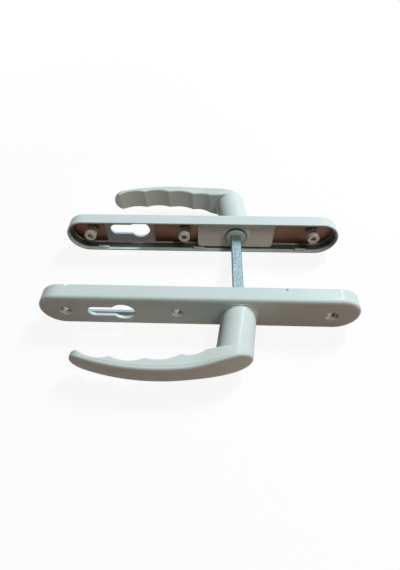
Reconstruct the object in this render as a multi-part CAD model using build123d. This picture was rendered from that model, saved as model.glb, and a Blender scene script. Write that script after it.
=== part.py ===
from build123d import *
import os

# PVC door handle set: two lever-on-backplate halves on one square spindle.
# Millimetres, +Z up. The set lies on the long edges of its plates, +X along the plates,
# +Y along the spindle from the front (inside) half to the rear (outside) half.
# Each half is drawn once in its own frame: x along the plate with the spindle at 0,
# y across the plate, z outward from the rim that meets the door. It is then turned into place.

# Plates
PLATE_LENGTH = 235.0
PLATE_WIDTH = 33.0
PLATE_DEPTH = 12.4
SPINDLE_OFF_CENTRE = 30.0
DOOR_GAP = 66.0
COVER_WALL = 1.4
COVER_FLOOR = 2.4
COVER_EDGE_ROUND = 2.8
RIM_ROUND = 0.4

# Keyhole for a profile cylinder
KEY_CENTRES = 85.0
KEY_ROUND_R = 8.8
KEY_SLOT_WIDTH = 10.6
KEY_SLOT_REACH = 26.4
KEY_EDGE_ROUND = 0.5

# Fixing screws: one past the keyhole, one by the spindle, one near the plain end
SCREW_MID = 45.0
SCREW_FROM_PLAIN_END = 20.5
SCREW_HEAD_R = 4.5
SCREW_HEAD_DEPTH = 1.5
SCREW_SHANK_R = 2.75
SCREW_COVER_EASE = 0.25
SCREW_EDGE_ROUND = 0.4

# Chipped spots in the rim of the front cover
CHIP_ROUND_FROM_END = 21.5
CHIP_ROUND_R = 1.5
CHIP_NICK_AT = 31.7
CHIP_NICK_WIDTH = 0.9
CHIP_NICK_LENGTH = 3.4
CHIP_NICK_ANGLE = 40.0

# Steel tray
SHEET = 0.9
TRAY_GAP = 0.15
TRAY_RIM_SET_BACK = 3.0
TRAY_LEDGE_DEPTH = 6.2
TRAY_LEDGE = 0.8
WINDOW_NEAR = 72.0
WINDOW_LENGTH = 44.0
LUG_WIDTH = 3.6
LUG_HEIGHT = 3.6
LUG_OFF_CENTRE = 9.0
LUG_GAP = 0.1
PLUNGE_HEIGHT = 2.0

# Clip tabs of the cover that hold the tray
TAB_THICK = 1.9
TAB_REACH = 1.3
TAB_FROM_END = 28.5
TAB_MID_AT = 32.0
TAB_LENGTH = 9.0
TAB_SEAT_GAP = 0.05
TAB_SLOT_HEIGHT = 1.3
TAB_SLOT_EXTRA = 2.0

# Bearing block and bush
BLOCK_LENGTH = 66.0
BLOCK_SIDE_GAP = 0.25
BLOCK_SET_BACK = 3.9
BLOCK_CORNER_R = 3.0
BLOCK_EDGE_ROUND = 0.6
BUSH_WALL = 2.45
BUSH_FLANGE = 1.9
BUSH_FLANGE_THICK = 0.5
BUSH_FACE_RISE = 1.2

# Lever hub and what turns on it
HUB_R = 8.5
HUB_RUN_GAP = 0.05
HUB_LIP = 1.5
HUB_END_ROUND = 1.0
CLIP_REACH = 1.3
CLIP_GROOVE = 0.6
CLIP_THICK = 1.0
CLIP_SEAT_GAP = 0.03
CLIP_OPENING = 3.5
COLLAR_STEP = 0.7
COLLAR_THICK = 1.0
COLLAR_ROUND = 0.3
END_RUN_GAP = 0.05

# Lever, heights measured outward from the face of the plate
NECK_R = 13.0
# the neck stands this much inside the round end of the grip
NECK_STEP = 0.1
NECK_LEAN = 0.14
CROWN_R = 172.0
CREST_AT = 57.5
CREST_HEIGHT = 49.7
TIP_REACH = 115.0
GRIP_HALF_WIDTH = 9.6
GRIP_NARROWS_OVER = 30.0
CROSS_R = 60.0
OUTER_EDGE_ROUND = 2.2
INNER_EDGE_ROUND = 1.5
# finger ridges: two by the neck, the hook of the tip, and two more spread evenly between
FIRST_RIDGE_AT = 22.9
SECOND_RIDGE_AT = 39.3
HOOK_BACK = 6.7
HOOK_AT = TIP_REACH - HOOK_BACK
FINGER_RUN = (HOOK_AT - SECOND_RIDGE_AT) / 3
RIDGE_AT = (FIRST_RIDGE_AT, SECOND_RIDGE_AT, SECOND_RIDGE_AT + FINGER_RUN, HOOK_AT - FINGER_RUN, HOOK_AT)
# thickness of the grip at each ridge, depth of the hollow from there to the next
RIDGE_THICK = (12.4, 11.9, 9.6, 8.0, 6.8)
HOLLOW_DEPTH = (1.8, 2.5, 2.7, 3.1)
RIDGE_ROUND = 1.8
PAST_TIP = 2.0
TIP_THICK = 3.8
ROOT_THICK = 6.4
NECK_TOP_COVER = 4.2

# Spindle and its grub screw
SPINDLE_SIDE = 8.0
SPINDLE_GAP = 0.05
SPINDLE_EDGE = 0.5
SOCKET_DEPTH = 26.0
SPINDLE_END_GAP = 1.0
SPINDLE_IN_REAR = 8.0
GRUB_R = 2.5
GRUB_LENGTH = 7.0
GRUB_HEIGHT = 15.0
GRUB_KEY_SIDE = 2.5
GRUB_KEY_DEPTH = 3.0

# Screw posts of the rear half
POST_THREAD_R = 2.1
POST_THREAD_DEPTH = 6.5
POST_WALL = 1.2
POST_FOOT_STEP = 1.2
POST_FOOT_HEIGHT = 1.6
POST_TAIL_R = 2.6
POST_END_SET_BACK = 0.6
WASHER_STEP = 0.4
WASHER_THICK = 0.8
SLEEVE_WALL = 1.6
SLEEVE_LENGTH = 4.8
SLEEVE_ROUND = 0.5
SLEEVE_END_SET_BACK = 0.2

# Worked out from the sizes above
KEY_END = PLATE_LENGTH / 2 + SPINDLE_OFF_CENTRE
PLAIN_END = PLATE_LENGTH / 2 - SPINDLE_OFF_CENTRE
PLATE_MID = -SPINDLE_OFF_CENTRE
FLOOR_IN = PLATE_DEPTH - COVER_FLOOR
TRAY_IN = FLOOR_IN - SHEET
PAN_WALL = COVER_WALL + TRAY_GAP + TRAY_LEDGE + SHEET
SCREW_FAR = (KEY_CENTRES + KEY_SLOT_REACH + KEY_END - PAN_WALL) / 2
SCREWS = (-SCREW_FAR, -SCREW_MID, PLAIN_END - SCREW_FROM_PLAIN_END)
TABS = (TAB_FROM_END - KEY_END, -TAB_MID_AT, PLAIN_END - TAB_FROM_END)
PAN_WIDTH = PLATE_WIDTH - 2 * PAN_WALL
BLOCK_WIDTH = PAN_WIDTH - 2 * BLOCK_SIDE_GAP
BLOCK_FACE_WIDTH = BLOCK_WIDTH + 2 * TRAY_LEDGE
LEDGE_IN = TRAY_LEDGE_DEPTH - SHEET
HUB_BORE_R = HUB_R + HUB_RUN_GAP
BUSH_R = HUB_BORE_R + BUSH_WALL
BUSH_FLANGE_R = BUSH_R + BUSH_FLANGE
BUSH_SEAT = BLOCK_SET_BACK + BUSH_FLANGE_THICK
BUSH_FACE = BLOCK_SET_BACK - BUSH_FACE_RISE
CLIP_BASE = BUSH_FACE - END_RUN_GAP
CLIP_END = CLIP_BASE - CLIP_THICK
HUB_END = CLIP_END - CLIP_SEAT_GAP - HUB_LIP
NECK_BASE = COLLAR_THICK + END_RUN_GAP
POST_R = POST_THREAD_R + POST_WALL
POST_FOOT = TRAY_IN - WASHER_THICK
FRONT = Pos(-PLATE_MID, -DOOR_GAP / 2, PLATE_WIDTH / 2) * Rot(90, 0, 0)
REAR = Pos(-PLATE_MID, DOOR_GAP / 2, PLATE_WIDTH / 2) * Rot(-90, 0, 0)


def slab(sketch, low, high):
    """The sketch made solid between two heights."""
    return extrude(Pos(0, 0, low) * sketch, high - low)


def drum(radius, low, high):
    return slab(Circle(radius), low, high)


def plate_outline(inset=0.0):
    """Long plate with full round ends, drawn in from the edge by inset."""
    return Pos(PLATE_MID, 0) * SlotOverall(PLATE_LENGTH - 2 * inset, PLATE_WIDTH - 2 * inset)


def keyhole_outline():
    slot_end = KEY_SLOT_REACH - KEY_SLOT_WIDTH / 2
    bar = Pos(-KEY_CENTRES - slot_end / 2, 0) * Rectangle(slot_end, KEY_SLOT_WIDTH)
    end = Pos(-KEY_CENTRES - slot_end, 0) * Circle(KEY_SLOT_WIDTH / 2)
    return Pos(-KEY_CENTRES, 0) * Circle(KEY_ROUND_R) + bar + end


def edges_at(solid, height, inside=None):
    """Edges lying flat at a height, all of them or those of the openings only."""
    flat = [e for e in solid.edges() if abs(e.bounding_box().min.Z - height) < 1e-4]
    flat = [e for e in flat if abs(e.bounding_box().max.Z - height) < 1e-4]
    if inside is None:
        return flat
    limit = PLATE_WIDTH / 2 - inside
    return [e for e in flat if e.bounding_box().max.Y < limit and e.bounding_box().min.Y > -limit]


def cover(with_screw_holes):
    """White shell with clip tabs inside its long walls."""
    shell = slab(plate_outline(), 0, PLATE_DEPTH)
    shell = fillet(edges_at(shell, PLATE_DEPTH), COVER_EDGE_ROUND)
    shell -= slab(plate_outline(COVER_WALL), 0, FLOOR_IN)
    shell = fillet(edges_at(shell, 0), RIM_ROUND)
    shell -= slab(keyhole_outline(), FLOOR_IN, PLATE_DEPTH)
    shell = fillet(edges_at(shell, PLATE_DEPTH, COVER_EDGE_ROUND + 1), KEY_EDGE_ROUND)
    shell -= drum(BUSH_R, FLOOR_IN, PLATE_DEPTH)
    if with_screw_holes:
        for at in SCREWS:
            hole = drum(SCREW_SHANK_R + SCREW_COVER_EASE, FLOOR_IN, PLATE_DEPTH)
            hole += drum(SCREW_HEAD_R, PLATE_DEPTH - SCREW_HEAD_DEPTH, PLATE_DEPTH)
            hole += Pos(0, 0, PLATE_DEPTH) * Cone(
                SCREW_HEAD_R, SCREW_HEAD_R + 2 * SCREW_EDGE_ROUND, 2 * SCREW_EDGE_ROUND
            )
            shell -= Pos(at, 0, 0) * hole
    wall = PLATE_WIDTH / 2 - COVER_WALL
    top = TRAY_RIM_SET_BACK - TAB_SEAT_GAP
    for at in TABS:
        for side in (1, -1):
            tab = slab(Rectangle(TAB_LENGTH, TAB_REACH + COVER_WALL / 2), top - TAB_THICK, top)
            shell += Pos(at, side * (wall - TAB_REACH / 2 + COVER_WALL / 4), 0) * tab
    return shell


def chipped(shell):
    """Two spots where the rim of the front cover is chipped."""
    edge = PLATE_WIDTH / 2 - COVER_WALL / 2
    bite = Rot(90, 0, 0) * Cylinder(CHIP_ROUND_R, 3 * COVER_WALL)
    nick = Rot(0, CHIP_NICK_ANGLE, 0) * Box(CHIP_NICK_WIDTH, 3 * COVER_WALL, 2 * CHIP_NICK_LENGTH)
    return shell - Pos(CHIP_ROUND_FROM_END - KEY_END, edge, 0) * bite - Pos(CHIP_NICK_AT, edge, 0) * nick


def tray(screw_hole_r, plunge=0.0):
    """Drawn steel pan with a step in its walls, a window at the keyhole and four lugs."""
    edge = COVER_WALL + TRAY_GAP
    pan = slab(plate_outline(edge), TRAY_RIM_SET_BACK, TRAY_LEDGE_DEPTH)
    pan += slab(plate_outline(edge + TRAY_LEDGE), TRAY_LEDGE_DEPTH, FLOOR_IN)
    pan -= slab(plate_outline(edge + SHEET), TRAY_RIM_SET_BACK, LEDGE_IN)
    pan -= slab(plate_outline(edge + TRAY_LEDGE + SHEET), LEDGE_IN, TRAY_IN)
    window = Pos(-WINDOW_NEAR - WINDOW_LENGTH / 2, 0) * Rectangle(WINDOW_LENGTH, PAN_WIDTH)
    pan -= slab(window, TRAY_IN, FLOOR_IN)
    pan -= drum(BUSH_R, TRAY_IN, FLOOR_IN)
    for at in SCREWS:
        if plunge:
            pan += Pos(at, 0, 0) * drum(screw_hole_r + SHEET, TRAY_IN - plunge, TRAY_IN)
        pan -= Pos(at, 0, 0) * drum(screw_hole_r, TRAY_IN - plunge, FLOOR_IN)
    slot_low = TRAY_RIM_SET_BACK + SHEET
    for at in TABS:
        slot = Rectangle(TAB_LENGTH + TAB_SLOT_EXTRA, PLATE_WIDTH)
        pan -= Pos(at, 0, 0) * slab(slot, slot_low, slot_low + TAB_SLOT_HEIGHT)
    lug_at = BLOCK_LENGTH / 2 + LUG_GAP + SHEET / 2
    for end in (-lug_at, lug_at):
        for side in (-LUG_OFF_CENTRE, LUG_OFF_CENTRE):
            lug = slab(Rectangle(SHEET, LUG_WIDTH), TRAY_IN - LUG_HEIGHT, TRAY_IN)
            pan += Pos(end, side, 0) * lug
    return pan


def bearing_block():
    """Plastic rectangle that fills the pan round the hub, its wider face rests on the step of the pan."""
    block = slab(RectangleRounded(BLOCK_LENGTH, BLOCK_FACE_WIDTH, BLOCK_CORNER_R), BLOCK_SET_BACK, LEDGE_IN)
    block = fillet(edges_at(block, BLOCK_SET_BACK), BLOCK_EDGE_ROUND)
    block += slab(RectangleRounded(BLOCK_LENGTH, BLOCK_WIDTH, BLOCK_CORNER_R), LEDGE_IN, TRAY_IN)
    return block - drum(BUSH_FLANGE_R, BLOCK_SET_BACK, BUSH_SEAT) - drum(BUSH_R, BUSH_SEAT, TRAY_IN)


def bush():
    """Flanged bush through block and tray, its cone stands proud of the block."""
    body = drum(BUSH_R, BUSH_SEAT, FLOOR_IN) + drum(BUSH_FLANGE_R, BLOCK_SET_BACK, BUSH_SEAT)
    body += Pos(0, 0, (BUSH_FACE + BLOCK_SET_BACK) / 2) * Cone(BUSH_R, BUSH_FLANGE_R, BUSH_FACE_RISE)
    return body - drum(HUB_BORE_R, BUSH_FACE, FLOOR_IN)


def collar():
    """Slide ring between the neck and the plate, with a sleeve through the cover."""
    high = PLATE_DEPTH + COLLAR_THICK
    ring = drum(NECK_R + COLLAR_STEP, PLATE_DEPTH, high)
    ring = fillet(edges_at(ring, high), COLLAR_ROUND)
    ring += drum(BUSH_R, FLOOR_IN, PLATE_DEPTH)
    return ring - drum(HUB_BORE_R, FLOOR_IN, high)


def retaining_ring():
    """Open spring ring in the groove of the hub."""
    outer = HUB_R + CLIP_REACH
    ring = drum(outer, CLIP_END, CLIP_BASE) - drum(HUB_R - CLIP_GROOVE, CLIP_END, CLIP_BASE)
    return ring - slab(Pos(0, outer / 2) * Rectangle(CLIP_OPENING, outer), CLIP_END, CLIP_BASE)


def crown(at):
    """Height of the bowed outer face at a distance from the spindle."""
    return CREST_HEIGHT - CROWN_R + (CROWN_R**2 - (at - CREST_AT) ** 2) ** 0.5


def side_profile():
    """Side view of the grip: bowed outer face, finger hollows with ridges on the inner face."""
    ridges = [(-at, crown(at) - thick) for at, thick in zip(RIDGE_AT, RIDGE_THICK)]
    hollows = []
    for start, end, depth in zip(ridges, ridges[1:], HOLLOW_DEPTH):
        run = end[0] - start[0]
        rise = end[1] - start[1]
        lift = depth / (run**2 + rise**2) ** 0.5
        middle = ((start[0] + end[0]) / 2 + rise * lift, (start[1] + end[1]) / 2 - run * lift)
        hollows.append(ThreePointArc(start, middle, end))
    neck_end = (NECK_R, crown(-NECK_R))
    neck_low = (NECK_R, crown(-NECK_R) - ROOT_THICK)
    past = TIP_REACH + PAST_TIP
    tip_end = (-past, crown(past))
    tip_low = (-past, crown(past) - TIP_THICK)
    outer = ThreePointArc(neck_end, (-CREST_AT, CREST_HEIGHT), tip_end)
    tip = [Line(tip_end, tip_low), Line(tip_low, ridges[-1])]
    root = [Line(ridges[0], neck_low), Line(neck_low, neck_end)]
    face = make_face([outer] + tip + hollows + root)
    corners = [v for v in face.vertices() if any(abs(v.X - r[0]) < 1e-3 for r in ridges)]
    return fillet(corners, RIDGE_ROUND)


def front_outline():
    """Front view of the lever: round neck end, flanks drawn in to the grip, round tip."""
    tip_x = -TIP_REACH + GRIP_HALF_WIDTH
    neck_x = -NECK_LEAN * (crown(0) - NECK_BASE)
    grip_x = neck_x - GRIP_NARROWS_OVER
    sides = []
    for side in (1, -1):
        shoulder = (neck_x, side * NECK_R)
        narrow = (grip_x, side * GRIP_HALF_WIDTH)
        sides.append(Spline(shoulder, narrow, tangents=[(-1, 0), (-1, 0)]))
        sides.append(Line(narrow, (tip_x, side * GRIP_HALF_WIDTH)))
    tip = ThreePointArc((tip_x, GRIP_HALF_WIDTH), (-TIP_REACH, 0), (tip_x, -GRIP_HALF_WIDTH))
    end = ThreePointArc((neck_x, -NECK_R), (neck_x + NECK_R, 0), (neck_x, NECK_R))
    return make_face(sides + [tip, end])


def bowed():
    """Turned body whose skin is the outer face of the grip, bowed along the grip and across it."""
    half = 2 * NECK_R
    low = CROWN_R - CREST_HEIGHT
    edge = CROWN_R - CROSS_R + (CROSS_R**2 - half**2) ** 0.5
    skin = ThreePointArc((-half, edge), (0, CROWN_R), (half, edge))
    sides = [Line((half, edge), (half, low)), Line((half, low), (-half, low)), Line((-half, low), (-half, edge))]
    turned = revolve(Plane.YZ * make_face([skin] + sides), Axis.Y)
    return Pos(-CREST_AT, 0, CREST_HEIGHT - CROWN_R) * turned


def grip():
    """Bar cut to its side view and its front view, edges rounded."""
    side = extrude(Rot(90, 0, 0) * side_profile(), 2 * NECK_R, both=True)
    reach = CREST_HEIGHT
    outline = Pos(NECK_LEAN * reach / 2, 0, crown(0) - reach / 2) * front_outline()
    bar = side & extrude(outline, reach, dir=(-NECK_LEAN, 0, 1)) & bowed()
    outer = [e for e in rim_edges(bar) if depth_below_crown(e) < OUTER_EDGE_ROUND]
    bar = fillet(outer, OUTER_EDGE_ROUND)
    inner = [e for e in rim_edges(bar) if depth_below_crown(e) > OUTER_EDGE_ROUND + 1.5]
    return fillet(inner, INNER_EDGE_ROUND)


def rim_edges(bar):
    """Edges that run round the bar, without the straight ones across it."""
    return [e for e in bar.edges() if e.geom_type != GeomType.LINE]


def depth_below_crown(edge):
    point = edge @ 0.5
    return crown(-point.X) - point.Z


def neck():
    """Leaning round neck, ending inside the grip."""
    radius = CROWN_R - NECK_TOP_COVER
    ends = (2 * NECK_R, -NECK_R, -3 * NECK_R)
    base = CREST_HEIGHT - CROWN_R
    points = [(x, base + (radius**2 - (x + CREST_AT) ** 2) ** 0.5) for x in ends]
    right = (points[0][0], 0)
    left = (points[2][0], 0)
    under = make_face([ThreePointArc(*points), Line(points[2], left), Line(left, right), Line(right, points[0])])
    under = extrude(Rot(90, 0, 0) * under, 2 * NECK_R, both=True)
    column = extrude(Pos(0, 0, NECK_BASE) * Circle(NECK_R - NECK_STEP), CREST_HEIGHT, dir=(-NECK_LEAN, 0, 1))
    return column & under


def lever(with_grub_hole):
    """Cast lever: grip with finger hollows, leaning neck, grooved hub, square socket."""
    arm = Pos(0, 0, PLATE_DEPTH) * (grip() + neck())
    hub = drum(HUB_R, HUB_END, PLATE_DEPTH + NECK_BASE)
    arm += fillet(edges_at(hub, HUB_END), HUB_END_ROUND)
    low = CLIP_END - CLIP_SEAT_GAP
    high = CLIP_BASE + CLIP_SEAT_GAP
    arm -= drum(HUB_R, low, high) - drum(HUB_R - CLIP_GROOVE, low, high)
    socket = Rectangle(SPINDLE_SIDE + 2 * SPINDLE_GAP, SPINDLE_SIDE + 2 * SPINDLE_GAP)
    arm -= slab(socket, HUB_END, PLATE_DEPTH + SOCKET_DEPTH)
    if with_grub_hole:
        arm -= grub_axis() * drum(GRUB_R, 0, 2 * NECK_R)
    return arm


def grub_axis():
    """Grub screw axis, from the middle of the socket down through the underside of the neck."""
    return Pos(0, 0, PLATE_DEPTH + GRUB_HEIGHT) * Rot(90, 0, 0)


def grub_screw():
    tip = SPINDLE_SIDE / 2
    screw = drum(GRUB_R, tip, tip + GRUB_LENGTH)
    key = RegularPolygon(GRUB_KEY_SIDE / 2, 6, major_radius=False)
    return grub_axis() * (screw - slab(key, tip + GRUB_LENGTH - GRUB_KEY_DEPTH, tip + GRUB_LENGTH))


def spindle():
    """Square bar from the front lever to the rear lever, in the frame of the set."""
    low = -DOOR_GAP / 2 - PLATE_DEPTH - SOCKET_DEPTH + SPINDLE_END_GAP
    high = DOOR_GAP / 2 + PLATE_DEPTH + SPINDLE_IN_REAR
    bar = slab(Rectangle(SPINDLE_SIDE, SPINDLE_SIDE), low, high)
    bar = chamfer(bar.edges().filter_by(Axis.Z), SPINDLE_EDGE)
    return Pos(-PLATE_MID, 0, PLATE_WIDTH / 2) * Rot(-90, 0, 0) * bar


def screw_posts():
    """Three threaded posts riveted into the rear tray, each standing on a washer."""
    shoulder = POST_FOOT - POST_FOOT_HEIGHT
    post = drum(POST_R, POST_END_SET_BACK, shoulder)
    post += drum(POST_R + POST_FOOT_STEP, shoulder, POST_FOOT)
    post += drum(POST_TAIL_R, POST_FOOT, FLOOR_IN)
    post -= drum(POST_THREAD_R, POST_END_SET_BACK, POST_END_SET_BACK + POST_THREAD_DEPTH)
    return Compound([Pos(at, 0, 0) * post.solid() for at in SCREWS])


def post_washers():
    washer = drum(POST_R + POST_FOOT_STEP + WASHER_STEP, POST_FOOT, TRAY_IN)
    washer -= drum(POST_TAIL_R, POST_FOOT, TRAY_IN)
    return Compound([Pos(at, 0, 0) * washer.solid() for at in SCREWS])


def post_sleeves():
    """Plastic sleeves pushed over the ends of the posts."""
    low = SLEEVE_END_SET_BACK
    sleeve = drum(POST_R + SLEEVE_WALL, low, low + SLEEVE_LENGTH)
    sleeve = fillet(edges_at(sleeve, low), SLEEVE_ROUND)
    sleeve -= drum(POST_R, low, low + SLEEVE_LENGTH)
    return Compound([Pos(at, 0, 0) * sleeve.solid() for at in SCREWS])


def main():
    nodes = {
        "front_cover": FRONT * chipped(cover(True)),
        "front_tray": FRONT * tray(SCREW_SHANK_R, PLUNGE_HEIGHT),
        "front_bearing_block": FRONT * bearing_block(),
        "front_bush": FRONT * bush(),
        "front_collar": FRONT * collar(),
        "front_lever": FRONT * lever(True),
        "front_retaining_ring": FRONT * retaining_ring(),
        "spindle_grub_screw": FRONT * grub_screw(),
        "spindle": spindle(),
        "rear_cover": REAR * cover(False),
        "rear_tray": REAR * tray(POST_TAIL_R),
        "rear_bearing_block": REAR * bearing_block(),
        "rear_bush": REAR * bush(),
        "rear_collar": REAR * collar(),
        "rear_lever": REAR * lever(False),
        "rear_retaining_ring": REAR * retaining_ring(),
        "rear_screw_posts": REAR * screw_posts(),
        "rear_post_washers": REAR * post_washers(),
        "rear_post_sleeves": REAR * post_sleeves(),
    }
    os.makedirs("parts", exist_ok=True)
    for name, shape in nodes.items():
        export_step(shape, os.path.join("parts", name + ".step"))


main()
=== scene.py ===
import math

import bmesh
import bpy
from mathutils import Matrix, Vector

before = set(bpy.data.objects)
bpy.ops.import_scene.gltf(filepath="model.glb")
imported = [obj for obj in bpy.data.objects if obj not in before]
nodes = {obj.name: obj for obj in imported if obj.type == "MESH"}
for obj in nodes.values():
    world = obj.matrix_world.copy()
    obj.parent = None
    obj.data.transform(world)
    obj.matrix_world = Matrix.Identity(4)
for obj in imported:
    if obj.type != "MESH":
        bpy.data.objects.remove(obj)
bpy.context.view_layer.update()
scene = bpy.context.scene
scene.view_settings.view_transform = "Standard"

MM = 0.001
MM_PER_METRE = 1000.0

# Sizes of the part that its finishes follow, in mm, with places measured from the middle of the set.
# Arc of the outer face of both grips: its middle lies beyond the middle of the set
CROWN_X = -27.5
CROWN_Y = 76.9
CROWN_RADIUS = 172.0
# Parting line on the flanks of the grips, its depth below the outer face; it fades out at the neck
PARTING_DEPTH = 3.4
PARTING_RADIUS = CROWN_RADIUS - PARTING_DEPTH
PARTING_HALF_WIDTH = 0.35
PARTING_ENDS_X = 26.0
PARTING_FADES_OVER = 12.0
# Flat base of the pans, either side of the middle, and how far inside it the painted brown reflection starts
# and is full
PAN_BASE_Y = 42.1
PAINTED_REFLECTION_STARTS = 0.6
PAINTED_REFLECTION_FULL = 0.1
# Between these places along the pans the painted brown reflection grows lighter
PAINTED_REFLECTION_DARK_X = -100.0
PAINTED_REFLECTION_LIGHT_X = 90.0
# Height of the collars round the screw holes of the front pan, and the width of the change to their skin
HOLE_COLLAR = 2.0
HOLE_FADES_OVER = 0.2

# Camera as fitted to the photograph: place in mm, then turn, dip and roll in degrees
CAMERA_PLACE = (8.6, -184.6, 227.7)
CAMERA_TURN = 2.74
CAMERA_DIP = 51.83
CAMERA_ROLL = -1.10
CAMERA_FOCUS_PX = 345.0
PHOTO_HEIGHT_PX = 570.0
SENSOR_MM = 36.0
# Nearest distance that the camera shows, in metres
CAMERA_NEAREST = 0.01

# Stage, in metres: where the lamps aim, and the floor
LAMP_AIM = (0.0, 0.0, 0.02)
FLOOR_HALF_WIDTH = 4.0
# Distances from the middle of the set, and the share of plain white in the floor as seen there
FLOOR_NEAR, FLOOR_FAR = 0.25, 0.6
WHITE_NEAR, WHITE_FAR = 0.9, 1.0
# Strength of the sky where it lights surfaces, and where it is seen
SKY_LIGHT, SKY_SEEN = 0.03, 1.0

# Colour sockets of a mix node: at factor 0, at factor 1, and the result
FIRST, SECOND, MIXED = 6, 7, 2
# What the wave pattern turns through, in radians, over one unit of its scale
WAVE_TURN = 20.0

# Aged gloss white: a soft sheen with a thin clear reflection of the lamp over it
WEAK_GLOSS = {"Specular IOR Level": 0.12, "Coat Weight": 0.04, "Coat Roughness": 0.1}


def srgb(text):
    """A colour written as sRGB hex, as the linear values a socket takes."""
    parts = [int(text[i:i + 2], 16) / 255 for i in (1, 3, 5)]
    linear = [v / 12.92 if v <= 0.04045 else ((v + 0.055) / 1.055) ** 2.4 for v in parts]
    return (*linear, 1.0)


def per_metre(size_mm):
    """Pattern scale on coordinates in metres for features of a real size."""
    return MM_PER_METRE / size_mm


def add(tree, kind, inputs=None, **settings):
    """Adds a node: its settings, then each input as a value or as a link from another node."""
    node = tree.nodes.new(kind)
    for name, value in settings.items():
        setattr(node, name, value)
    for socket, value in (inputs or {}).items():
        if isinstance(value, bpy.types.NodeSocket):
            tree.links.new(value, node.inputs[socket])
        else:
            node.inputs[socket].default_value = value
    return node


def moulded_abs_white(tree, place):
    """Gloss white ABS, injection moulded: cool white, slow waves in the gloss, faint handling marks."""
    clouds = add(tree, "ShaderNodeTexNoise", {"Vector": place, "Scale": per_metre(45), "Detail": 3.0})
    white = add(tree, "ShaderNodeMix", {
        "Factor": clouds.outputs[0], FIRST: srgb("#d6e4e2"), SECOND: srgb("#cbdbd9")}, data_type="RGBA")
    # dust specks about half a millimetre across, one to every 7 mm or so
    dust = add(tree, "ShaderNodeTexVoronoi", {"Vector": place, "Scale": per_metre(7)})
    speck = add(tree, "ShaderNodeMapRange", {
        "Value": dust.outputs["Distance"],
        "From Min": 0.03, "From Max": 0.06, "To Min": 0.25, "To Max": 0.0})
    dusty = add(tree, "ShaderNodeMix", {
        "Factor": speck.outputs[0], FIRST: white.outputs[MIXED], SECOND: srgb("#9a9c94")}, data_type="RGBA")
    # fingermarks about 14 mm across dull the gloss
    marks = add(tree, "ShaderNodeTexNoise", {"Vector": place, "Scale": per_metre(14), "Detail": 5.0})
    gloss = add(tree, "ShaderNodeMapRange", {
        "Value": marks.outputs[0], "From Min": 0.35, "From Max": 0.75, "To Min": 0.4, "To Max": 0.52})
    # waves about 9 mm long, where the wall shrank unevenly in the mould
    waves = add(tree, "ShaderNodeTexNoise", {"Vector": place, "Scale": per_metre(9), "Detail": 1.0})
    dents = add(tree, "ShaderNodeBump", {
        "Height": waves.outputs[0], "Distance": 0.06 * MM, "Strength": 0.5})
    return {
        "Base Color": dusty.outputs[MIXED], "Roughness": gloss.outputs[0], "IOR": 1.53, **WEAK_GLOSS,
        "Normal": dents.outputs[0], "Coat Normal": dents.outputs[0]}


def parting_line(tree, place):
    """1 on the parting line of the grips, 0 away from it and at the neck."""
    split = add(tree, "ShaderNodeSeparateXYZ", {"Vector": place})
    x_mm = add(tree, "ShaderNodeMath", {
        0: split.outputs["X"], 1: MM_PER_METRE, 2: -CROWN_X}, operation="MULTIPLY_ADD")
    y_out = add(tree, "ShaderNodeMath", {0: split.outputs["Y"]}, operation="ABSOLUTE")
    y_mm = add(tree, "ShaderNodeMath", {
        0: y_out.outputs[0], 1: MM_PER_METRE, 2: CROWN_Y}, operation="MULTIPLY_ADD")
    arm = add(tree, "ShaderNodeCombineXYZ", {"X": x_mm.outputs[0], "Y": y_mm.outputs[0]})
    radius = add(tree, "ShaderNodeVectorMath", {0: arm.outputs[0]}, operation="LENGTH")
    off = add(tree, "ShaderNodeMath", {
        0: radius.outputs["Value"], 1: PARTING_RADIUS}, operation="SUBTRACT")
    apart = add(tree, "ShaderNodeMath", {0: off.outputs[0]}, operation="ABSOLUTE")
    line = add(tree, "ShaderNodeMapRange", {
        "Value": apart.outputs[0],
        "From Min": 0.0, "From Max": PARTING_HALF_WIDTH, "To Min": 1.0, "To Max": 0.0},
        interpolation_type="SMOOTHSTEP")
    end = PARTING_ENDS_X - CROWN_X
    fade = add(tree, "ShaderNodeMapRange", {
        "Value": x_mm.outputs[0],
        "From Min": end - PARTING_FADES_OVER, "From Max": end, "To Min": 1.0, "To Max": 0.0})
    return add(tree, "ShaderNodeMath", {0: line.outputs[0], 1: fade.outputs[0]}, operation="MULTIPLY")


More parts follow.
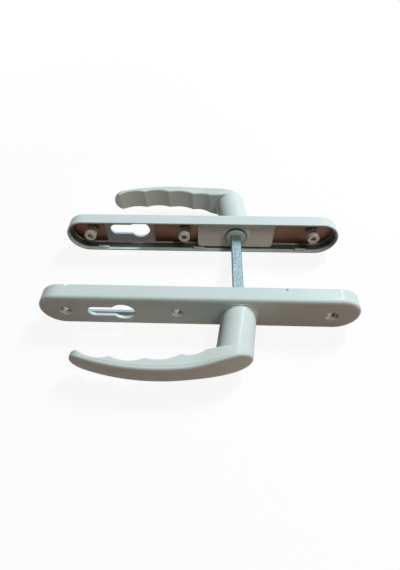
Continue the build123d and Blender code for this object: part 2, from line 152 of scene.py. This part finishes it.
def powder_coated_cast_aluminium(tree, place):
    """Die cast aluminium under gloss white powder coat: faint orange peel, a parting line on the flanks."""
    parting = parting_line(tree, place)
    clouds = add(tree, "ShaderNodeTexNoise", {"Vector": place, "Scale": per_metre(35), "Detail": 3.0})
    white = add(tree, "ShaderNodeMix", {
        "Factor": clouds.outputs[0], FIRST: srgb("#d8e5e2"), SECOND: srgb("#cfdcd9")}, data_type="RGBA")
    # the parting line is drawn a darker grey: painted shade of its groove
    line_with_painted_shade = add(tree, "ShaderNodeMix", {
        "Factor": parting.outputs[0], FIRST: white.outputs[MIXED], SECOND: srgb("#a9b8b5")},
        data_type="RGBA")
    # fingermarks about 12 mm across dull the gloss
    marks = add(tree, "ShaderNodeTexNoise", {"Vector": place, "Scale": per_metre(12), "Detail": 5.0})
    gloss = add(tree, "ShaderNodeMapRange", {
        "Value": marks.outputs[0], "From Min": 0.35, "From Max": 0.75, "To Min": 0.38, "To Max": 0.5})
    # orange peel about 1.6 mm from crest to crest, with the line cut twice as deep as the peel is high
    peel = add(tree, "ShaderNodeTexNoise", {"Vector": place, "Scale": per_metre(1.6), "Detail": 1.0})
    height = add(tree, "ShaderNodeMath", {
        0: parting.outputs[0], 1: -2.0, 2: peel.outputs[0]}, operation="MULTIPLY_ADD")
    skin = add(tree, "ShaderNodeBump", {
        "Height": height.outputs[0], "Distance": 0.02 * MM, "Strength": 0.4})
    return {
        "Base Color": line_with_painted_shade.outputs[MIXED], "Roughness": gloss.outputs[0], "IOR": 1.5, **WEAK_GLOSS,
        "Normal": skin.outputs[0], "Coat Normal": skin.outputs[0]}


def drawn_sheet_steel(tree, place):
    """Cold drawn sheet steel: blue grey walls with draw lines, darkened as painted shade; a painted brown
    reflection on the flat base.
    """
    # draw lines run along the pan, 40 mm long and 0.7 mm apart
    stretch = add(tree, "ShaderNodeMapping", {
        "Vector": place, "Scale": (per_metre(40), per_metre(0.7), per_metre(0.7))})
    lines = add(tree, "ShaderNodeTexNoise", {"Vector": stretch.outputs[0], "Scale": 1.0, "Detail": 3.0})
    # the walls are drawn darker than the bright plated steel: painted shade, for their shade and the dark
    # reflections inside the pan
    steel = add(tree, "ShaderNodeMix", {
        "Factor": lines.outputs[0], FIRST: srgb("#5f7271"), SECOND: srgb("#3d4c4c")}, data_type="RGBA")
    # the painted brown reflection lies in patches about 30 mm across, darker towards the keyhole end
    reflection_patches = add(tree, "ShaderNodeTexNoise", {"Vector": place, "Scale": per_metre(30), "Detail": 3.0})
    split = add(tree, "ShaderNodeSeparateXYZ", {"Vector": place})
    reflection_fade = add(tree, "ShaderNodeMapRange", {
        "Value": split.outputs["X"],
        "From Min": PAINTED_REFLECTION_DARK_X * MM, "From Max": PAINTED_REFLECTION_LIGHT_X * MM, "To Min": -0.35, "To Max": 0.1})
    level = add(tree, "ShaderNodeMath", {
        0: reflection_patches.outputs[0], 1: reflection_fade.outputs[0]}, operation="ADD", use_clamp=True)
    # painted reflection: the brown of a surface under the pan, put into the base colour of the flat base
    painted_brown_reflection = add(tree, "ShaderNodeMix", {
        "Factor": level.outputs[0], FIRST: srgb("#442d23"), SECOND: srgb("#785e4d")}, data_type="RGBA")
    out = add(tree, "ShaderNodeMath", {0: split.outputs["Y"]}, operation="ABSOLUTE")
    base = add(tree, "ShaderNodeMapRange", {
        "Value": out.outputs[0],
        "From Min": (PAN_BASE_Y - PAINTED_REFLECTION_STARTS) * MM, "From Max": (PAN_BASE_Y - PAINTED_REFLECTION_FULL) * MM})
    both = add(tree, "ShaderNodeMix", {
        "Factor": base.outputs[0], FIRST: steel.outputs[MIXED], SECOND: painted_brown_reflection.outputs[MIXED]},
        data_type="RGBA")
    # the cut and plunged walls of the screw holes stand square to the base and get a lighter, dull skin:
    # partly the bare cut edge, partly painted light, so that the holes read pale
    surface = add(tree, "ShaderNodeNewGeometry")
    facing = add(tree, "ShaderNodeSeparateXYZ", {"Vector": surface.outputs["True Normal"]})
    turned = add(tree, "ShaderNodeMath", {0: facing.outputs["Y"]}, operation="ABSOLUTE")
    square = add(tree, "ShaderNodeMapRange", {
        "Value": turned.outputs[0], "From Min": 0.2, "From Max": 0.4, "To Min": 1.0, "To Max": 0.0})
    collar_end = PAN_BASE_Y - HOLE_COLLAR
    deep = add(tree, "ShaderNodeMapRange", {
        "Value": out.outputs[0],
        "From Min": (collar_end - HOLE_FADES_OVER) * MM, "From Max": collar_end * MM})
    hole = add(tree, "ShaderNodeMath", {0: square.outputs[0], 1: deep.outputs[0]}, operation="MULTIPLY")
    skin = add(tree, "ShaderNodeMix", {
        "Factor": hole.outputs[0], FIRST: both.outputs[MIXED], SECOND: srgb("#b0aca4")}, data_type="RGBA")
    dull = add(tree, "ShaderNodeMapRange", {"Value": lines.outputs[0], "To Min": 0.3, "To Max": 0.5})
    rough = add(tree, "ShaderNodeMath", {0: dull.outputs[0], 1: hole.outputs[0]}, operation="MAXIMUM")
    bright = add(tree, "ShaderNodeMapRange", {"Value": base.outputs[0], "To Min": 0.5, "To Max": 1.0})
    bare = add(tree, "ShaderNodeMapRange", {
        "Value": hole.outputs[0], "To Min": bright.outputs[0], "To Max": 0.0})
    scores = add(tree, "ShaderNodeBump", {
        "Height": lines.outputs[0], "Distance": 0.02 * MM, "Strength": 0.5})
    return {
        "Base Color": skin.outputs[MIXED], "Roughness": rough.outputs[0], "Metallic": bare.outputs[0],
        "Normal": scores.outputs[0]}


def moulded_acetal_grey(tree, place):
    """Pale grey acetal, injection moulded: half matt, flow lines along the block."""
    # flow lines 50 mm long, 1.5 mm apart
    stretch = add(tree, "ShaderNodeMapping", {
        "Vector": place, "Scale": (per_metre(50), per_metre(1.5), per_metre(1.5))})
    flow = add(tree, "ShaderNodeTexNoise", {"Vector": stretch.outputs[0], "Scale": 1.0, "Detail": 2.0})
    # the grey is set near white, lighter than the acetal's own pale grey: painted light, making up for the
    # shade of the rim above it
    grey = add(tree, "ShaderNodeMix", {
        "Factor": flow.outputs[0], FIRST: srgb("#eef6f0"), SECOND: srgb("#dfe7e1")}, data_type="RGBA")
    sheen = add(tree, "ShaderNodeMapRange", {"Value": flow.outputs[0], "To Min": 0.36, "To Max": 0.52})
    ripple = add(tree, "ShaderNodeBump", {
        "Height": flow.outputs[0], "Distance": 0.02 * MM, "Strength": 0.4})
    return {
        "Base Color": grey.outputs[MIXED], "Roughness": sheen.outputs[0], "IOR": 1.48,
        "Normal": ripple.outputs[0]}


def moulded_nylon_white(tree, place):
    """White nylon, injection moulded: satin, a little greyer than the covers, with a fine grain."""
    clouds = add(tree, "ShaderNodeTexNoise", {"Vector": place, "Scale": per_metre(6), "Detail": 2.0})
    white = add(tree, "ShaderNodeMix", {
        "Factor": clouds.outputs[0], FIRST: srgb("#d2dedb"), SECOND: srgb("#c3d0cd")}, data_type="RGBA")
    grain = add(tree, "ShaderNodeTexNoise", {"Vector": place, "Scale": per_metre(0.8), "Detail": 1.0})
    texture = add(tree, "ShaderNodeBump", {
        "Height": grain.outputs[0], "Distance": 0.01 * MM, "Strength": 0.4})
    return {
        "Base Color": white.outputs[MIXED], "Roughness": 0.4, "IOR": 1.53, "Normal": texture.outputs[0]}


def natural_nylon(tree, place):
    """Natural nylon, extruded tube: milky and slightly see-through, satin."""
    clouds = add(tree, "ShaderNodeTexNoise", {"Vector": place, "Scale": per_metre(3), "Detail": 2.0})
    # the milky white is set lighter than the tube's own tone: painted light, making up for the shade of the
    # cover's wall above it
    milk = add(tree, "ShaderNodeMix", {
        "Factor": clouds.outputs[0], FIRST: srgb("#f6faf8"), SECOND: srgb("#e6ebe8")}, data_type="RGBA")
    grain = add(tree, "ShaderNodeTexNoise", {"Vector": place, "Scale": per_metre(0.6), "Detail": 1.0})
    skin = add(tree, "ShaderNodeBump", {
        "Height": grain.outputs[0], "Distance": 0.02 * MM, "Strength": 0.4})
    return {
        "Base Color": milk.outputs[MIXED], "Roughness": 0.42, "IOR": 1.53, "Normal": skin.outputs[0],
        "Subsurface Weight": 0.25, "Subsurface Radius": (0.9 * MM, 0.8 * MM, 0.7 * MM),
        "Subsurface Scale": 1.0}


def zinc_plated_drawn_bar(tree, place):
    """Drawn square steel bar, barrel zinc plated: blue grey with bright crystal flakes, rough in patches."""
    # plating mottle about 1.2 mm across, drawn out to 4 mm along the bar
    stretch = add(tree, "ShaderNodeMapping", {
        "Vector": place, "Scale": (per_metre(1.2), per_metre(4.0), per_metre(1.2))})
    mottle = add(tree, "ShaderNodeTexNoise", {
        "Vector": stretch.outputs[0], "Scale": 1.0, "Detail": 4.0, "Roughness": 0.65})
    spread = add(tree, "ShaderNodeMapRange", {
        "Value": mottle.outputs[0], "From Min": 0.32, "From Max": 0.68})
    zinc = add(tree, "ShaderNodeMix", {
        "Factor": spread.outputs[0], FIRST: srgb("#5a7079"), SECOND: srgb("#86999d")}, data_type="RGBA")
    # flakes of the crystal plating about 0.7 mm across, every one a shade of its own
    flakes = add(tree, "ShaderNodeTexVoronoi", {"Vector": place, "Scale": per_metre(0.7)})
    shade = add(tree, "ShaderNodeSeparateColor", {"Color": flakes.outputs["Color"]})
    glint = add(tree, "ShaderNodeMapRange", {
        "Value": shade.outputs[0], "From Min": 0.72, "From Max": 0.95, "To Min": 0.0, "To Max": 0.5})
    plate = add(tree, "ShaderNodeMix", {
        "Factor": glint.outputs[0], FIRST: zinc.outputs[MIXED], SECOND: srgb("#adbcbd")}, data_type="RGBA")
    dull = add(tree, "ShaderNodeMapRange", {"Value": spread.outputs[0], "To Min": 0.66, "To Max": 0.46})
    pits = add(tree, "ShaderNodeBump", {
        "Height": mottle.outputs[0], "Distance": 0.12 * MM, "Strength": 0.6})
    return {
        "Base Color": plate.outputs[MIXED], "Roughness": dull.outputs[0], "Metallic": 1.0,
        "Normal": pits.outputs[0]}


def zinc_flake_turned_steel(tree, place):
    """Turned steel under a dull zinc flake coat: light grey, tool rings across the axis."""
    # tool rings drawn 0.5 mm apart: the real ones, about 0.1 mm, are too fine to show
    rings = add(tree, "ShaderNodeTexWave", {
        "Vector": place, "Scale": per_metre(0.5) * 2 * math.pi / WAVE_TURN,
        "Distortion": 0.6, "Detail": 1.0}, bands_direction="Y")
    zinc = add(tree, "ShaderNodeMix", {
        "Factor": rings.outputs["Fac"], FIRST: srgb("#b3b6b0"), SECOND: srgb("#c9ccc6")}, data_type="RGBA")
    ridges = add(tree, "ShaderNodeBump", {
        "Height": rings.outputs["Fac"], "Distance": 0.02 * MM, "Strength": 0.4})
    return {
        "Base Color": zinc.outputs[MIXED], "Roughness": 0.55, "Metallic": 0.25,
        "Normal": ridges.outputs[0]}


def phosphated_steel_with_painted_gap_shade(tree, place):
    """Spring strip under dark phosphate, drawn darker still as painted shade of the gap round the hub: dark
    grey, satin, duller in patches.
    """
    tones = add(tree, "ShaderNodeTexNoise", {"Vector": place, "Scale": per_metre(2.5), "Detail": 3.0})
    # dark grey: partly the phosphate, partly painted shade of the gap round the hub
    grey = add(tree, "ShaderNodeMix", {
        "Factor": tones.outputs[0], FIRST: srgb("#454b4b"), SECOND: srgb("#5d6463")}, data_type="RGBA")
    dull = add(tree, "ShaderNodeMapRange", {"Value": tones.outputs[0], "To Min": 0.36, "To Max": 0.54})
    return {"Base Color": grey.outputs[MIXED], "Roughness": dull.outputs[0], "Metallic": 1.0}


def black_oxide_steel(tree, place):
    """Black oxide on a machined screw: near black, oily sheen."""
    tones = add(tree, "ShaderNodeTexNoise", {"Vector": place, "Scale": per_metre(1.2), "Detail": 3.0})
    black = add(tree, "ShaderNodeMix", {
        "Factor": tones.outputs[0], FIRST: srgb("#232425"), SECOND: srgb("#3a3b3c")}, data_type="RGBA")
    return {"Base Color": black.outputs[MIXED], "Roughness": 0.4, "Metallic": 1.0}


# The finish of every piece of the part
FINISHES = {
    moulded_abs_white: ["front_cover", "rear_cover"],
    powder_coated_cast_aluminium: ["front_lever", "rear_lever"],
    drawn_sheet_steel: ["front_tray", "rear_tray"],
    moulded_acetal_grey: ["front_bearing_block", "rear_bearing_block", "front_bush", "rear_bush"],
    moulded_nylon_white: ["front_collar", "rear_collar"],
    natural_nylon: ["rear_post_sleeves"],
    zinc_plated_drawn_bar: ["spindle"],
    zinc_flake_turned_steel: ["rear_screw_posts", "rear_post_washers"],
    phosphated_steel_with_painted_gap_shade: ["front_retaining_ring", "rear_retaining_ring"],
    black_oxide_steel: ["spindle_grub_screw"],
}


def material_of(finish):
    """The material of a finish, under the same name: the finish gives what goes into the shader."""
    material = bpy.data.materials.new(finish.__name__)
    material.use_nodes = True
    tree = material.node_tree
    tree.nodes.clear()
    place = add(tree, "ShaderNodeTexCoord").outputs["Object"]
    shader = add(tree, "ShaderNodeBsdfPrincipled", finish(tree, place))
    add(tree, "ShaderNodeOutputMaterial", {"Surface": shader.outputs[0]})
    return material


def dress():
    """Gives every piece of the part its finish."""
    for finish, names in FINISHES.items():
        material = material_of(finish)
        for name in names:
            mesh = nodes[name].data
            mesh.materials.clear()
            mesh.materials.append(material)


def set_camera():
    """Looks at the set as the photograph does."""
    turn, dip, roll = (math.radians(a) for a in (CAMERA_TURN, CAMERA_DIP, CAMERA_ROLL))
    ahead = Vector((-math.sin(turn) * math.cos(dip), math.cos(turn) * math.cos(dip), -math.sin(dip)))
    right = Vector((math.cos(turn), math.sin(turn), 0.0))
    up = right.cross(ahead)
    right_rolled = right * math.cos(roll) + up * math.sin(roll)
    up_rolled = up * math.cos(roll) - right * math.sin(roll)
    lens = bpy.data.cameras.new("photo_camera")
    lens.sensor_width = SENSOR_MM
    lens.lens = CAMERA_FOCUS_PX * SENSOR_MM / PHOTO_HEIGHT_PX
    lens.clip_start = CAMERA_NEAREST
    camera = bpy.data.objects.new("photo_camera", lens)
    axes = Matrix((right_rolled, up_rolled, -ahead)).transposed().to_4x4()
    camera.matrix_world = Matrix.Translation(Vector(CAMERA_PLACE) * MM) @ axes
    scene.collection.objects.link(camera)
    scene.camera = camera


def soft_lamp(name, place, size, power, colour):
    """A lamp, its place, width and height in metres, aimed at the middle of the set."""
    lamp = bpy.data.lights.new(name, "AREA")
    lamp.shape = "RECTANGLE"
    lamp.size, lamp.size_y = size
    lamp.energy = power
    lamp.color = srgb(colour)[:3]
    holder = bpy.data.objects.new(name, lamp)
    holder.location = place
    aim = Vector(LAMP_AIM) - Vector(place)
    holder.rotation_euler = aim.to_track_quat("-Z", "Y").to_euler()
    scene.collection.objects.link(holder)


def seen_directly(tree):
    """1 for rays from the camera, from mirrors and through glass, 0 for the light between surfaces."""
    path = add(tree, "ShaderNodeLightPath")
    first = add(tree, "ShaderNodeMath", {
        0: path.outputs["Is Camera Ray"], 1: path.outputs["Is Glossy Ray"]}, operation="MAXIMUM")
    return add(tree, "ShaderNodeMath", {
        0: first.outputs[0], 1: path.outputs["Is Transmission Ray"]}, operation="MAXIMUM").outputs[0]


def pale_floor():
    """Seen as white with a faint shadow; the light that it sends back to the set is dim and warm."""
    material = bpy.data.materials.new("pale_floor")
    material.use_nodes = True
    tree = material.node_tree
    tree.nodes.clear()
    seen = seen_directly(tree)
    colour = add(tree, "ShaderNodeMix", {
        "Factor": seen, FIRST: srgb("#a0755a"), SECOND: srgb("#f4f4f4")}, data_type="RGBA")
    lit = add(tree, "ShaderNodeBsdfDiffuse", {"Color": colour.outputs[MIXED]})
    glow = add(tree, "ShaderNodeEmission", {"Color": srgb("#ffffff"), "Strength": 1.0})
    # away from the set the floor passes into the white of the sky, so that no edge shows
    place = add(tree, "ShaderNodeTexCoord").outputs["Object"]
    away = add(tree, "ShaderNodeVectorMath", {0: place}, operation="LENGTH")
    white = add(tree, "ShaderNodeMapRange", {
        "Value": away.outputs["Value"], "From Min": FLOOR_NEAR, "From Max": FLOOR_FAR,
        "To Min": WHITE_NEAR, "To Max": WHITE_FAR})
    share = add(tree, "ShaderNodeMath", {0: seen, 1: white.outputs[0]}, operation="MULTIPLY")
    mix = add(tree, "ShaderNodeMixShader", {0: share.outputs[0], 1: lit.outputs[0], 2: glow.outputs[0]})
    add(tree, "ShaderNodeOutputMaterial", {"Surface": mix.outputs[0]})
    return material


def set_floor():
    """A wide flat sheet under the set."""
    mesh = bpy.data.meshes.new("floor")
    sheet = bmesh.new()
    bmesh.ops.create_grid(sheet, x_segments=1, y_segments=1, size=FLOOR_HALF_WIDTH)
    sheet.to_mesh(mesh)
    sheet.free()
    mesh.materials.append(pale_floor())
    floor = bpy.data.objects.new("floor", mesh)
    scene.collection.objects.link(floor)


def set_sky():
    """Plain white where it is seen, and a weak even light on surfaces."""
    world = bpy.data.worlds.new("pale_sky")
    scene.world = world
    world.use_nodes = True
    tree = world.node_tree
    tree.nodes.clear()
    seen = seen_directly(tree)
    sky = add(tree, "ShaderNodeMix", {
        "Factor": seen, FIRST: srgb("#eef3f5"), SECOND: srgb("#ffffff")}, data_type="RGBA")
    level = add(tree, "ShaderNodeMapRange", {"Value": seen, "To Min": SKY_LIGHT, "To Max": SKY_SEEN})
    back = add(tree, "ShaderNodeBackground", {"Color": sky.outputs[MIXED], "Strength": level.outputs[0]})
    add(tree, "ShaderNodeOutputWorld", {"Surface": back.outputs[0]})


set_camera()
dress()
set_floor()
set_sky()
soft_lamp("window_lamp", place=(0.79, 0.91, 1.31), size=(0.12, 0.6), power=29.5, colour="#eef8ff")
soft_lamp("ceiling_lamp", place=(0.74, -0.48, 1.62), size=(0.42, 0.42), power=11.0, colour="#fff2e6")
